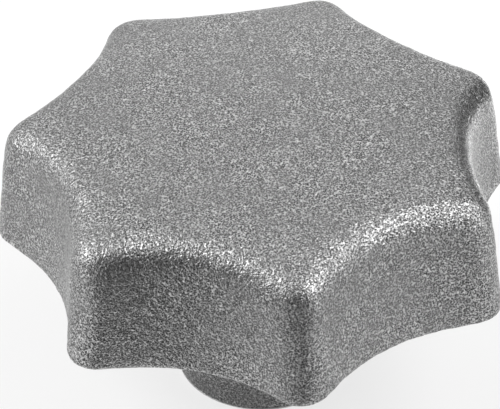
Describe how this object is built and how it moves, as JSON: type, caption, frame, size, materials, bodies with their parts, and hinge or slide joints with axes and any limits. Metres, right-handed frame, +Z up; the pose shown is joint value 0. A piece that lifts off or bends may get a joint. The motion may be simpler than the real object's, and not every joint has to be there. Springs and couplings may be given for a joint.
{
  "type": "star knob",
  "caption": "Star-shaped hand grip with rounded lobes, a domed top and a round hub below with a blind tapped hole, for tightening a bolt or stud by hand.",
  "frame": {"origin": "centre of the hub's end face, on the thread's axis", "axes": "+Z up along the thread's axis, from the hub's end face to the crown; one lobe points along -Y"},
  "size_m": [0.0614, 0.0601, 0.0384],
  "materials": {
    "cast_iron_rough": "rough tumbled grey casting with a fine speckled grain; the hub is smoother and the hole is machined"
  },
  "bodies": {
    "root": {"knob_body": "cast_iron_rough"}
  },
  "joints": []
}
